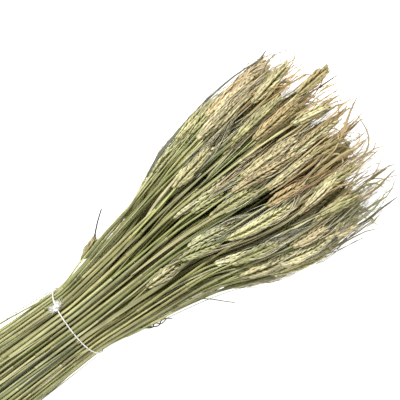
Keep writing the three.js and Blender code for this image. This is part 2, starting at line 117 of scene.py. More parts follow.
BLADE_ROWS = 20
BLADE_THICKNESS = 0.2
BLADE_LEAST = 0.18  # its half width at the very tip
BLADE_PLACES = np.array([-1, -0.5, 0, 0.5, 1, 0.5, 0, -0.5])  # its section: across it
BLADE_FACES = np.array([0, -1, -1, -1, 0, 1, 1.5, 1])  # and through it, with the midrib on top
BLADE_HALVES = (0.6, 1.5)
BLADE_LENGTHS = (90.0, 240.0)
SHORTEST_BLADE = 30.0
BLADE_END = 292.0  # where the longest blades end, more or less
BLADE_LIMIT = 306.0  # and what none of them passes
BLADE_DRIFT = 0.045  # how far the blades slant across the stalks, in radians, more or less
HOOKED = 0.75  # how far the blades at the head end hook aside, in radians, more or less
HOOKS_FROM = 230.0  # blades that end past this may hook so
TIE_CLEAR = 8.0  # how far before the tie the blades from below it end
OUTER_LEAVES = [0.7, 0.7, 0.6]  # how likely each sheath still has its blade, from the top down

MAP_GAPS = (0.04, 0.08)  # left free at each side of a tube's cell on the map, as shares of it
CAP_REACH = 0.3  # how far a tube's end faces reach on the map, as a share of its cell's height
STALKS_ON_MAP = 0.94  # how much of a handful's map its stalks take up, and where its blades lie
BLADES_ON_MAP = (0, 0.945, 1, 0.033)
MAP_COLUMNS = 6  # columns of loose and buried blades on the map, in as many rows as they need
LOOSE_BLADES = 48  # lying on each of the upper handfuls
LOOSE_STARTS = (110.0, 285.0)
LOOSE_LENGTHS = (35.0, 110.0)
BURIED = 48  # broken straws and dead blades, in each of the lower handfuls
BURIED_STARTS = (40.0, 130.0)
BURIED_ENDS = (175.0, 255.0)
BURIED_HALVES = (2.4, 4.2)
BURIED_HEIGHTS = (-18.0, 4.0)  # over the bundle's waist
# painted shade on the buried straws and blades, so the deep gaps look dark
BURIED_PAINTED_SHADE = 0.45

INNER_SPACING = 4.5  # between the inner stalks at the tie
ROW_SHARE = 0.87  # and between their rows, as a share of that, as round things pack
JOSTLED = 0.35  # how far each is from its place in them, more or less
INNER_REACH = 0.97  # how near to their outline they lie
OUTLINE_WIDTH = 1.96  # how many half widths lie between the outline's outermost points
DOME = 2.3  # how square the outline is on top: 2 is an ellipse
BASE = 3.0  # and how square it is below
EARS_OVER = 8.0  # how far the outer ears lie over the inner stalks' outline
COLUMN_LIMITS = [-0.5, 0.0, 0.5]  # where the handfuls meet, as shares of the half width
WANDER = 2.4
WANDER_FULL = 150.0  # this far from the tie the stalks wander so much
SPREAD = (0.08, 0.17)  # how far the inner ears spread past their handfuls, to -Y and to +Y
SPREAD_AT = (10.0, 110.0)
NARROWER = (0.14, 0.01)  # and how far they draw together again at the head end
NARROWER_AT = (170.0, 250.0)
EAR_LIFT = (2.0, 13.0)  # how far the upper ears near the surface lie above their straws' place
LIFTED_AT = (110.0, 190.0)  # ears that end before this stretch are not lifted, and past it fully
EAR_LENGTHS = (60.0, 84.0)

DEPTH_POWER = 2.5  # how round the layers are that the inner stalks' depth is counted in
DEEP = 0.25  # how far out the darkest of them lie
NEAR_SURFACE = 0.62  # how far out the inner stalks are seen between the outer ones
INNER_PAINTED_SHADES = (0.64, 1.15)  # painted shade: the inner stalks are darker the deeper they lie, and those near the surface a little lighter
INNER_STRAW_PAINTED_SHADES = np.array([0.85, 0.5, 1.35])  # painted shade on their straws on top of that, at SHADED_AT: darkest above the tie, lighter among the ears
EAR_PAINTED_SHADES = [0.74, 1.0]  # painted shade on the inner ears: darker deep in the bundle than near the surface
INNER_AWNS = [0.16, 0.45]  # as AWN_SHARE, deep and near the surface
INNER_LEAVES = [[0.5], [0.95, 0.5]]  # as OUTER_LEAVES, deep and near the surface
FIRST_EARS = [205.0, 110.0]  # where the first deep ears end, and the first near the surface
INNER_PAST = -3.0  # where the last inner ears end, past their handful's CAD solid
INNER_SHORT = 12.0  # how much before AWN_END they end at the latest
EVENLY = 0.618  # stepping by this share spreads a handful's ears along it
EARLY_EARS = 0.8  # 1 spreads the ears evenly, and less moves them towards the head end

STRING_RADIUS = 0.8
STRAW_OUTSIDE = 2.2  # from an outer stalk's middle line to where the string lies on it
PLY_RADIUS = 0.46
PLY_TURN = 3.4  # the length of one turn of the string's two plies
STRING_BOW = 10.0
STRING_STEPS = 1000
ROUNDS = 12  # of smoothing the string where it bends over the stalks
KNOT_Y = 27.0
KNOT_LIFT = 1.4
KNOT_TURNS = 4
KNOT_HALVES = np.array([2.6, 2.3, 1.6])
KNOT_STRAND = 0.75
FIBRES = 480
FIBRE_RADIUS = 0.26
FIBRE_LENGTHS = (2.8, 6.6)
TAILS = [np.array(way) for way in ((-1.0, 0.1), (-0.9, 0.3), (0.9, 0.35), (0.75, 0.6))]

# The camera looks straight down. The bundle's long axis is turned in the picture by this angle.
# The camera's and the lights' places and sizes are metres.
PICTURE_TURN = 36.5
PICTURE_MIDDLE = (0.1074, 0.0206)
PICTURE_WIDTH = 0.44
LENS = 130.0
SENSOR = 36.0
SUBJECT_HEIGHT = 0.06
LIT_POINT = Vector((0.05, 0, 0.05))
FLOOR_HALF = 6.0
FLOOR_GLOW = 0.8  # a lit table, as under a picture taken on plain white
SKY_STRENGTH = 0.58

# One spikelet: husks by their tilt away from the ear's axis, in degrees, along its width and its
# thickness, where they start across the thickness, and their length and half sizes. Each kind of
# husk is there twice, mirrored.
Husk = namedtuple("Husk", ["out", "aside", "start", "length", "wide", "thick", "awn"])
HUSK_KINDS = [(12, 15, 1.6, 9.5, 1.5, 1.15, False), (24, 8, 0.8, 11.5, 1.4, 1.2, True)]
HUSKS = [
    Husk(out, hand * aside, hand * start, *rest)
    for out, aside, start, *rest in HUSK_KINDS
    for hand in (1, -1)
]
AWNED_HUSKS = HUSKS[2:]

# Each leaf's colour at its foot and at its tip, its width as a share of its CAD solid's, and how
# far its face is turned from outward to upward, in radians.
LEAVES = [
    ("#5a5c4e", "#64665a", 0.9, 1.1),
    ("#6f6c50", "#5c5d4c", 0.8, 0.9),
    ("#66644c", "#4c4c3c", 0.55, 0.0),
    ("#c2a271", "#66685a", 0.8, 0.0),
    ("#a98d62", "#8a7c62", 0.8, -0.4),
    ("#837b58", "#6f6c58", 0.8, -1.0),
]

# Loose ends that stand clear of the outline, by the node whose stalks they grow from: a flat blade
# or a round stem, its half width, the height of its tip over the bundle, its colour and its way, in
# mm along and across from the tie. Its foot lies LOOSE_DROOP higher than its tip.
LOOSE_DROOP = 6.0
LOOSE_ENDS = {
    "stray_stalk": [
        ("stem", 1.2, 0, "#45463f", [(58.5, 56), (68.5, 65), (80.5, 76), (93.5, 86)]),
        ("stem", 0.4, 0, "#7a7458", [(-49, 50), (-51, 48), (-54, 44)]),
    ],
    "inner_stalks_top_1": [
        ("blade", 0.9, 0, "#8c8664", [(322, -86), (348, -88), (362, -84), (374, -77)]),
        ("blade", 1.2, 0, "#84905c", [(300, -78), (323, -92), (329, -102), (323, -111)]),
        ("stem", 0.5, 0, "#7f7c68", [(225, -92), (252, -100), (282, -108), (308, -113)]),
        ("stem", 0.5, 0, "#737264", [(228, -94), (252, -99), (276, -103), (299, -104)]),
        ("stem", 0.65, -4, "#807e6c", [(112, -52), (130, -66), (142, -78), (151, -87)]),
        ("stem", 0.8, -4, "#4a4636", [(50, -46), (60, -54), (66, -52), (71, -57), (79, -56)]),
        ("stem", 0.8, -4, "#56523e", [(54, -48), (62, -55), (68, -57), (75, -54), (84, -60)]),
        ("stem", 1.9, -6, "#77774e", [(90, -51), (125, -59.5), (140, -62.5), (190, -82), (235, -96)]),
        ("stem", 1.3, -3, "#8c8a5e", [(100, -51), (150, -61.5), (200, -82), (225, -90)]),
    ],
    "inner_stalks_top_3": [
        ("blade", 1.0, 3, "#968c6e", [(345, -36), (358, -36), (368, -30), (375, -18), (377, 4)]),
    ],
    "inner_stalks_top_4": [
        ("blade", 0.9, 2, "#5f6250", [(318, 96), (343, 106.5), (354, 105), (363, 101)]),
        ("stem", 0.45, -6, "#6c6a64", [(160, 78), (184, 94), (202, 105), (215, 111)]),
        ("stem", 1.8, -6, "#6f7048",
         [(50, 52), (80, 59.5), (100, 63.2), (120, 67.2), (150, 76), (190, 90)]),
        ("blade", 0.9, 4, "#5c5f4c", [(285, 104), (297, 110), (317, 116), (334, 112.5), (348, 106.5)]),
        ("stem", 0.55, 4, "#77705c", [(290, 100), (306, 111.5), (326, 112.5), (344, 115)]),
        ("blade", 0.8, 8, "#7c7050", [(325, 100), (338, 105.5), (350.5, 105), (364, 102)]),
    ],
}

# ------------ colours


def linear(code):
    """A colour written as in a web page, as linear light."""
    part = np.array([int(code[i : i + 2], 16) for i in (1, 3, 5)]) / 255
    return np.where(part <= 0.04045, part / 12.92, ((part + 0.055) / 1.055) ** 2.4)


def palette(codes):
    return [linear(code) for code in codes.split()]


SHEATHS = palette("#989963 #a5a570 #888b54 #b0ae80 #7f8350 #a09d6b #9f9765 #b2ac7c #777b47")
BARE = palette("#a5a669 #959a5f #b7b584 #8b9157 #a5a06b")
COLLAR = linear("#cfc898")
JOINT = linear("#7d7044")
# painted shade down the straw's hollow
HOLE_PAINTED_SHADE = linear("#5f5533")
CUT = linear("#d6cb9c")
EARS = palette("#d7cfa5 #d0c89a #c5bf8d #d6c79d #beba86 #cabf90")
EAR_FOOT = linear("#aeab6c")
# the husks' feet: their own greener colour, and painted shade where the husks overlap
HUSK_FOOT_AND_SHADE = linear("#96925a")
EAR_TIP = linear("#c4ae78")
AWNS = palette("#cdc8a6 #bbb696 #dcd8b8 #aaa586 #8f8e7a #bfae8a #d5d1b2 #55564a #74756a")
BLADES = palette("#9c9a70 #868759 #aca47a #797c62 #b9ae88 #968a64 #7f8558 #a5a47c #4e5042")
RUST = palette("#c09561 #bba26c #ab8a5a #d1b07a #c4aa78")
STRING = linear("#f6f5f0")


def pick(colours, rng, spread=0.1):
    """One of the colours, a little lighter or darker."""
    return colours[rng.integers(len(colours))] * (1 + spread * rng.standard_normal())


def mix(a, b, share):
    """a where the share is 0, b where it is 1, and what lies between them."""
    return a + (b - a) * np.asarray(share)[..., None]


def smoothstep(value, low, high):
    """0 up to low, 1 from high on, and a smooth rise between them."""
    t = np.clip((value - low) / (high - low), 0, 1)
    return t * t * (3 - 2 * t)


def with_painted_shading(colour, shade):
    """Painted shade: darker where shade is below 1, and deeper in colour with it; painted light where it
    is above 1.
    """
    return colour * shade ** np.array([0.95, 1.0, 1.4])


# ------------ meshes


def ring(sides):
    turns = np.arange(sides) / sides * 2 * np.pi
    return np.cos(turns), np.sin(turns)


def unit(vectors):
    return vectors / np.linalg.norm(vectors, axis=-1, keepdims=True)


def held_in(places):
    """The points, kept within the bundle's limits to the sides, above and below."""
    places[..., 1] = np.clip(places[..., 1], -SIDE_LIMIT, SIDE_LIMIT)
    places[..., 2] = np.clip(places[..., 2], FLOOR_CLEAR, TOP_LIMIT)
    return places


def make_object(name, data):
    made = bpy.data.objects.new(name, data)
    bpy.context.scene.collection.objects.link(made)
    return made


def set_inputs(node, values):
    for name, value in values.items():
        node.inputs[name].default_value = value


class Skin:
    """Tubes of any section, gathered into one mesh with their colours and their grain."""

    def __init__(self):
        self.places, self.tints, self.grains = [], [], []
        self.loops, self.sizes, self.spots = [], [], []
        self.count = 0

    def add(self, places, tints, grains, cells):
        """places is tubes x rows x sides x 3, anticlockwise as seen from the last row. tints and
        grains fit it. Each tube's cell is its corner and size on the map."""
        tubes, rows, sides, _ = places.shape
        ids = self.count + np.arange(tubes * rows * sides).reshape(tubes, rows, sides)
        self.count += ids.size
        self.places.append(places.reshape(-1, 3))
        self.tints.append(np.broadcast_to(tints, places.shape).reshape(-1, 3))
        self.grains.append(np.broadcast_to(grains, places.shape).reshape(-1, 3))

        beside = np.roll(ids, -1, axis=2)
        quads = np.stack([ids[:, :-1], beside[:, :-1], beside[:, 1:], ids[:, 1:]], -1)
        row, side = np.meshgrid(np.arange(rows - 1), np.arange(sides), indexing="ij")
        along = np.stack([row, row, row + 1, row + 1], -1) / (rows - 1)
        around = np.stack([side, side + 1, side + 1, side], -1) / sides
        corner, size = cells[:, None, None, None, :2], cells[:, None, None, None, 2:]
        self.keep(quads, corner + size * np.stack([along, around], -1))

        reach = CAP_REACH * cells[:, None, 3:]
        for end, cap in ((0, ids[:, 0, ::-1]), (1, ids[:, -1])):
            middle = cells[:, None, :2] + cells[:, None, 2:] * np.array([end, 0.5])
            self.keep(cap, middle + reach * np.stack(ring(sides), -1))

    def keep(self, faces, spots):
        """Faces of as many corners each, and where their corners lie on the map."""
        self.loops.append(faces.reshape(-1))
        self.sizes.append(np.full(faces.size // faces.shape[-1], faces.shape[-1]))
        self.spots.append(spots.reshape(-1, 2))

    def build(self, node, material):
        """Makes the piece that stands for a CAD node."""
        places = (np.concatenate(self.places) / METRE).astype(np.float32)
        loops, sizes = np.concatenate(self.loops), np.concatenate(self.sizes)
        mesh = bpy.data.meshes.new(f"looks_{node}")
        mesh.vertices.add(len(places))
        mesh.vertices.foreach_set("co", places.ravel())
        mesh.loops.add(len(loops))
        mesh.loops.foreach_set("vertex_index", loops.astype(np.int32))
        mesh.polygons.add(len(sizes))
        mesh.polygons.foreach_set("loop_start", (np.cumsum(sizes) - sizes).astype(np.int32))
        mesh.polygons.foreach_set("use_smooth", np.ones(len(sizes), bool))
        spots = np.clip(np.concatenate(self.spots), 0, 1).astype(np.float32)
        mesh.uv_layers.new(name="OFBake").uv.foreach_set("vector", spots.ravel())
        tints = np.clip(np.concatenate(self.tints), 0.002, 0.95)
        tints = np.column_stack([tints, np.ones(len(tints))]).astype(np.float32)
        mesh.attributes.new("tint", "FLOAT_COLOR", "POINT").data.foreach_set("color", tints.ravel())
        grains = np.concatenate(self.grains).astype(np.float32)
        mesh.attributes.new("grain", "FLOAT_VECTOR", "POINT").data.foreach_set("vector", grains.ravel())
        mesh.update(calc_edges=True)
        mesh.materials.append(material)
        piece = make_object(mesh.name, mesh)
        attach(piece, "root")
        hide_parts(node)


def cells_in(cell, columns, rows, count):
    """Shares a cell of the map out among some tubes, a little apart."""
    order = np.arange(count)
    column, row = order % columns, (order // columns) % rows
    u, v, width, height = cell
    wide, high = width / columns, height / rows
    return np.stack([
        u + (column + MAP_GAPS[0]) * wide,
        v + (row + MAP_GAPS[1]) * high,
        np.full(count, (1 - 2 * MAP_GAPS[0]) * wide),
        np.full(count, (1 - 2 * MAP_GAPS[1]) * high),
    ], -1)


def part_of(cell, u, v, width, height):
    """A part of a cell, given by its corner and size as shares of the cell."""
    return [cell[0] + u * cell[2], cell[1] + v * cell[3], width * cell[2], height * cell[3]]


def grain_of(local, rng):
    """The grain's own space, moved to a place where no other piece has it."""
    return local + rng.uniform(0, 4000, 3)


def tube_along(skin, rng, path, radius, sides, colour, cell):
    """A round tube along a path."""
    ahead = unit(np.gradient(path, axis=0))
    across = unit(np.cross(ahead, ASKEW))
    over = np.cross(ahead, across)
    cos, sin = ring(sides)
    offsets = cos[:, None] * across[:, None] + sin[:, None] * over[:, None]
    wide = np.broadcast_to(radius, len(path))[:, None, None]
    places = path[:, None] + wide * offsets
    places[..., 2] = np.maximum(places[..., 2], TUBE_CLEAR)
    skin.add(places[None], colour, grain_of(places, rng)[None], np.array([cell]))


# ------------ middle lines


def smooth(knots, values, at):
    """A cubic curve through the knots, straight beyond them."""
    slopes = np.gradient(values, knots)
    left = np.clip(np.searchsorted(knots, at) - 1, 0, len(knots) - 2)
    step = knots[left + 1] - knots[left]
    share = (at - knots[left]) / step
    t = np.clip(share, 0, 1)
    curve = (
        (1 + 2 * t) * (1 - t) ** 2 * values[left]
        + t * (1 - t) ** 2 * step * slopes[left]
        + t * t * (3 - 2 * t) * values[left + 1]
        - t * t * (1 - t) * step * slopes[left + 1]
    )
    return curve + (share - t) * step * np.where(share > 1, slopes[-1], slopes[0])


class Line:
    """A stalk's middle line along x, and the frame across it."""

    def __init__(self, x, y, z):
        self.x, self.y, self.z = x, y, z
        self.turn_y, self.turn_z = np.gradient(y, x), np.gradient(z, x)

    def y_at(self, x):
        return np.interp(x, self.x, self.y)

    def z_at(self, x):
        return np.interp(x, self.x, self.z)

    def bend(self, local):
        """Moves points (x, a, b) of the straight space onto the line."""
        x, a, b = local[..., 0], local[..., 1:2], local[..., 2:]
        dy, dz = np.interp(x, self.x, self.turn_y), np.interp(x, self.x, self.turn_z)
        ahead = unit(np.stack([np.ones_like(x), dy, dz], -1))
        across = unit(np.stack([-dy, np.ones_like(x), np.zeros_like(x)], -1))
        middle_line = np.stack([x, self.y_at(x), self.z_at(x)], -1)
        return held_in(middle_line + a * across + b * np.cross(ahead, across))


Section = namedtuple("Section", ["x", "points", "middle", "reach"])


def sections_of(name):
    """A CAD node's sections: their x, their points, their middles and how far they reach."""
    places = np.array([v.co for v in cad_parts[name].data.vertices]) * METRE
    found = []
    for x in np.unique(places[:, 0].round(1)):
        points = np.unique(places[abs(places[:, 0] - x) < SAME_SECTION].round(2), axis=0)
        middle = points.mean(0)
        reach = np.hypot(*(points - middle)[:, 1:].T).max()
        found.append(Section(x, points, middle, reach))
    return found


def middle_at(sections, x):
    """The curve through the sections' middles: its y and z."""
    knots = np.array([section.middle for section in sections])
    return smooth(knots[:, 0], knots[:, 1], x), smooth(knots[:, 0], knots[:, 2], x)


def stalk_line(sections):
    """The middle line, from just before the cut to well past the ear."""
    x = np.arange(sections[0].middle[0] - 2, sections[-1].middle[0] + 130, CURVE_STEP)
    return Line(x, *middle_at(sections, x))


# ------------ the outline of the inner stalks

handfuls = {name: sections_of(name) for name in sorted(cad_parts) if name.startswith("inner")}
places_along = [{section.x for section in found[:-1]} for found in handfuls.values()]
shared = sorted(set.intersection(*places_along))


def outline_at(x):
    """The inner stalks' outline at a section: half width, middle, underside, waist and top."""
    points = {
        name: next(section.points for section in found if section.x == x)
        for name, found in handfuls.items()
    }
    every = np.concatenate(list(points.values()))
    upper = np.concatenate([places for name, places in points.items() if "top" in name])
    low, high = every.min(0), every.max(0)
    half_width = (high[1] - low[1]) / OUTLINE_WIDTH
    return half_width, (high[1] + low[1]) / 2, low[2], upper[:, 2].min(), high[2]


# The outline's curves along the bundle. Past the last shared section they stay as they are there.
outline = np.array([outline_at(x) for x in shared])
core_x = np.arange(shared[0] - 12, CURVES_END, CURVE_STEP)
held_x = np.minimum(core_x, shared[-1])
half, middle, under, waist, top = [smooth(np.array(shared), curve, held_x) for curve in outline.T]


def core_at(x, curve):
    """One of the outline's curves at a place along the bundle."""
    return np.interp(x, core_x, curve)


def centre_at(x):
    """The middle of the bundle, halfway across it and at its widest height."""
    return np.stack([x, core_at(x, middle), core_at(x, waist)], -1)


def across_at(x, p):
    """How far across the frame a share of the bundle's half width lies."""
    return core_at(x, middle) + p * core_at(x, half)


def outward_from(path):
    return unit((path - centre_at(path[:, 0])) * [0, 1, 1])


def surface_height(x, y):
    """How high the top of the bundle is at a place, and its waist where nothing lies below."""
    p = np.clip((y - core_at(x, middle)) / (core_at(x, half) + EARS_OVER), -1, 1)
    rise = (1 - abs(p) ** DOME) ** (1 / DOME)
    low, high = core_at(x, waist), core_at(x, top)
    return low + rise * (high + EARS_OVER - low)


def ends_sooner(p):
    """How much sooner the heads end at a share of the half width than in the middle."""
    return ROUNDING * abs(p) ** 5


def head_end(x, y):
    """Where awns and blades end. The heads end sooner at the sides than in the middle."""
    p = (y - core_at(x, middle)) / (core_at(x, half) + 12)
    return AWN_END - ends_sooner(np.minimum(abs(p), 1.1))


def weathered(x, y):
    """How brown the heads are at a place: most at the head end, and little on their -Y side."""
    return smoothstep(x, *BROWNING) * smoothstep(y, *GREEN_SIDE)


# ------------ straws

# One stalk: its middle line, where it is cut and where its ear begins and ends, how thick its straw
# and its ear are as shares of the usual, one spikelet's husks, how many of them have an awn, how
# brown its ear is, its painted shade, darker the deeper it lies in the bundle, its straw's painted
# light and shade at SHADED_AT, and how likely each sheath still has its blade.
Stalk = namedtuple("Stalk", [
    "line", "cut", "base", "tip", "straw_size", "ear_size",
    "husks", "awned", "rust", "shade", "straw_shades", "leafy",
])


def straw_rows(rng, stalk):
    """Where the straw's section changes, from its cut end up: x, radius and colour."""
    sheath, bare = pick(SHEATHS, rng), pick(BARE, rng)
    joints = [stalk.base - rng.uniform(*TOP_INTERNODE)]
    while joints[0] > stalk.cut:
        joints.insert(0, joints[0] - rng.uniform(*INTERNODE))
    rows, collars = [], []
    for low, high in zip(joints, joints[1:] + [stalk.base]):
        collar = low + rng.uniform(*SHEATHED) * (high - low)
        shade = mix(sheath, pick(SHEATHS, rng), 0.35)
        lip = mix(shade, COLLAR, 0.5 * rng.random())
        collars.append(collar)
        # Over the joint, up the sheath, and past the collar where it ends.
        rows += [
            (low - 1.5, BARE_RADIUS, bare),
            (low - 0.6, JOINT_RADIUS, mix(shade, JOINT, 0.7)),
            (low + 1.2, JOINT_RADIUS, shade * 1.15),
            (low + 3.5, SHEATH_RADIUS, shade),
            ((low + collar) / 2, SHEATH_RADIUS * 0.97, shade * rng.uniform(0.85, 1.1)),
            (collar - 4.0, SHEATH_RADIUS * 0.8, shade * 1.05),
            (collar, COLLAR_RADIUS * 0.8, lip),
            (collar + 0.6, BARE_RADIUS, bare * 0.75),
            (collar + 6.0, BARE_RADIUS, bare),
        ]
    rows += [
        (stalk.base - 2.0, BARE_RADIUS * 0.9, bare),
        (stalk.base + 2.0, RACHIS_RADIUS * 0.9, EAR_FOOT),
        (stalk.base + 14.0, RACHIS_RADIUS, EAR_FOOT),
        (stalk.tip - 5.0, RACHIS_RADIUS * 0.4, EAR_FOOT),
    ]
    x = np.array([row[0] for row in rows])
    radius = stalk.straw_size * np.array([row[1] for row in rows])
    colour = np.array([row[2] for row in rows])
    return x, radius, colour, collars[::-1]


def grow_straw(skin, rng, stalk, cell):
    """The straw in its sheaths, and the hole in its cut end. Gives its collars, topmost first."""
    cut, tip = stalk.cut, stalk.tip
    x, radius, colour, collars = straw_rows(rng, stalk)
    even = np.arange(cut + 1, tip - 5, STRAW_STEP)
    places = np.unique(np.concatenate([even, x[(x > cut + 1) & (x < tip - 4)]]).round(2))
    wide = np.interp(places, x, radius) * (1 - STRAW_TAPER * smoothstep(places, *TAPERED))
    tone = np.stack([np.interp(places, x, colour[:, channel]) for channel in range(3)], -1)
    # The tube starts down the hole, painted dark with shade, comes out over the cut and runs on up the
    # outside.
    along = np.concatenate([[cut + HOLLOW_DEPTH, cut + 0.2, cut, cut + 0.4], places])
    reach = np.concatenate([wide[0] * np.array([HOLLOW * 0.9, HOLLOW, 0.96, 1]), wide])
    tones = np.concatenate([[HOLE_PAINTED_SHADE, HOLE_PAINTED_SHADE, CUT, CUT * 0.8], tone])[:, None]
    # painted light and shade along the straw, by SHADED_AT
    tones = with_painted_shading(tones, np.interp(along, SHADED_AT, stalk.straw_shades)[:, None, None])
    streaks = 1 + STREAKS * rng.standard_normal(STRAW_SIDES)
    turns = np.arange(STRAW_SIDES) / STRAW_SIDES * 2 * np.pi
    turns = turns + rng.uniform(-STRAW_TWIST, STRAW_TWIST) * along[:, None]
    local = np.stack([
        np.broadcast_to(along[:, None], turns.shape),
        reach[:, None] * np.cos(turns),
        reach[:, None] * np.sin(turns),
    ], -1)[None]
    tints = tones * streaks[:, None]
    skin.add(stalk.line.bend(local), tints, grain_of(local, rng), np.array([cell]))
    return [collar for collar in collars if collar > cut + LOWEST_COLLAR]


# ------------ ears and awns


def turned(points, roll):
    """Points (x, a, b) rolled about x."""
    a = points[..., 1] * np.cos(roll) - points[..., 2] * np.sin(roll)
    b = points[..., 1] * np.sin(roll) + points[..., 2] * np.cos(roll)
    return np.stack([points[..., 0], a, b], -1)


def spikelets(rng, stalk):
    """Two ranks of spikelets, each of a few husks, in the straight space. Gives the husks' points,
    the ends and directions of those that may carry an awn, and how each husk differs in shade."""
    count = max(FEWEST_SPIKELETS, round((stalk.tip - stalk.base - 7) / SPIKELET_PITCH))
    up = np.linspace(0, 1, count)
    size = stalk.ear_size * (0.7 + 0.3 * smoothstep(up, 0, 0.25)) * (1 - 0.36 * smoothstep(up, 0.6, 1))
    side = np.where(np.arange(count) % 2 == 0, 1.0, -1.0)
    start = stalk.base + 1 + (stalk.tip - stalk.base - 11) * up**1.12
    grid = (count, len(stalk.husks))
    husk = Husk(*[np.array(values) for values in zip(*stalk.husks)])
    jitter = rng.normal(0, 1, (*grid, 4))
    scale = size[:, None] * (1 + 0.06 * jitter[..., 0])
    spread = (0.65 + 0.35 * smoothstep(up, 0, 0.3))[:, None]
    out = np.radians(husk.out * spread + 2.2 * jitter[..., 1]) * side[:, None]
    aside = np.radians(husk.aside * spread + 2.2 * jitter[..., 2])

    # A husk points ahead, and its back is turned outward.
    ahead = unit(np.stack([np.cos(out) * np.cos(aside), np.sin(out), np.sin(aside)], -1))
    sides = np.broadcast_to(side[:, None], grid)
    outward = np.stack([np.zeros(grid), sides, 3.2 * np.sin(aside)], -1)
    outward = unit(outward - (outward * ahead).sum(-1, keepdims=True) * ahead)
    sideways = np.cross(outward, ahead)
    starts = np.broadcast_to(start[:, None], grid)
    foot = np.stack([starts, 0.9 * side[:, None] * scale, husk.start * scale], -1)

    sizes = (husk.length, husk.wide, husk.thick)
    length, wide, thick = [(value * scale)[..., None, None] for value in sizes]
    cos, sin = ring(HUSK_SIDES)
    t, profile = HUSK_ROWS[:, None], HUSK_PROFILE[:, None]
    bulge = 0.08 * np.sin(np.pi * t) - 0.1 * t**2

    def along(vectors, amounts):
        return vectors[:, :, None, None] * amounts[..., None]

    body = foot[:, :, None, None] + along(ahead, length * t)
    body = body + along(outward, length * bulge + thick * profile * sin)
    body = body + along(sideways, wide * profile * cos)
    tips = (foot + ahead * length[..., 0])[:, husk.awn].reshape(-1, 3)
    ways = ahead[:, husk.awn].reshape(-1, 3)
    return body.reshape(-1, *body.shape[2:]), tips, ways, jitter[..., 3]


def grow_ear(skin, rng, stalk, cell):
    """The spikelets of one ear, and the awns that they carry."""
    body, tips, ways, uneven = spikelets(rng, stalk)
    roll = rng.normal(0, EAR_ROLL)
    rust = stalk.rust
    tone = mix(pick(EARS, rng, 0.07), pick(RUST, rng), 0.5 * rust) * (1 - 0.16 * rust)
    pale = DULL + (1 - DULL) * smoothstep(stalk.tip, *LOW_EARS)
    # darker at the husks' feet: greener colour there, and painted shade between the husks
    rows = mix(HUSK_FOOT_AND_SHADE, tone, smoothstep(HUSK_ROWS, 0.05, 0.5)) * pale
    rows = mix(rows, EAR_TIP, 0.4 * smoothstep(HUSK_ROWS, 0.8, 1.0))
    patchy = 1 + 0.15 * uneven.reshape(-1, 1, 1, 1)
    skin.add(
        stalk.line.bend(turned(body, roll)),
        with_painted_shading(rows[None, :, None] * patchy, stalk.shade),
        grain_of(body, rng),
        cells_in(part_of(cell, 0, 0, 1, 0.75), *uneven.shape, uneven.size),
    )
    awns_cell = part_of(cell, 0, 0.75, 1, 0.25)
    grow_awns(skin, rng, stalk, turned(tips, roll), turned(ways, roll), awns_cell)


def grow_awns(skin, rng, stalk, feet, ways, cell):
    """Long fine bristles that leave the husks and draw together into a few wisps."""
    kept = rng.random(len(feet)) < stalk.awned * (1 - 0.8 * smoothstep(feet[:, 0], *BARER))
    kept[0] = True
    feet, ways = feet[kept], ways[kept]
    count, x = len(feet), feet[:, 0]
    room = np.maximum(head_end(x, stalk.line.y_at(x)) - x, AWN_LEAST)
    length = np.minimum(rng.uniform(*AWN_LENGTH, count), room * rng.uniform(0.7, 1.0, count))
    length = length[:, None, None]
    wisp = rng.integers(AWN_WISPS, size=count)
    share = AWN_ROWS[None, :, None]
    free = feet[:, None, 1:] + ways[:, None, 1:] * length * (0.42 * share - 0.2 * share**2)
    drawn = rng.normal(0, 0.075, (AWN_WISPS, 2))[wisp][:, None] * length * share**1.4
    drawn = drawn + rng.normal(0, 0.9, (count, 1, 2))
    across = free + (drawn - free) * 0.85 * smoothstep(share, 0.1, 0.9)
    middle_line = np.concatenate([feet[:, None, :1] + length * share, across], -1)
    section = np.stack([np.zeros(AWN_SIDES), *ring(AWN_SIDES)], -1)
    radius = AWN_RADIUS * rng.uniform(0.75, 1.25, (count, 1, 1)) * (1 - 0.55 * share)
    local = middle_line[:, :, None] + section * radius[..., None]
    tones = np.array([pick(AWNS, rng) for _ in range(AWN_WISPS)])
    centre = x.mean()
    brown = 0.5 * stalk.rust + 0.35 * weathered(centre, stalk.line.y_at(centre))
    tones = mix(tones, pick(RUST, rng), brown)[wisp] * rng.uniform(0.68, 1.36, (count, 1))
    tints = with_painted_shading(tones[:, None, None] * (0.95 + 0.25 * share[..., None]), stalk.shade)
    spots = cells_in(cell, AWN_GRID, AWN_GRID, count)
    skin.add(stalk.line.bend(local), tints, grain_of(local, rng), spots)


# ------------ blades


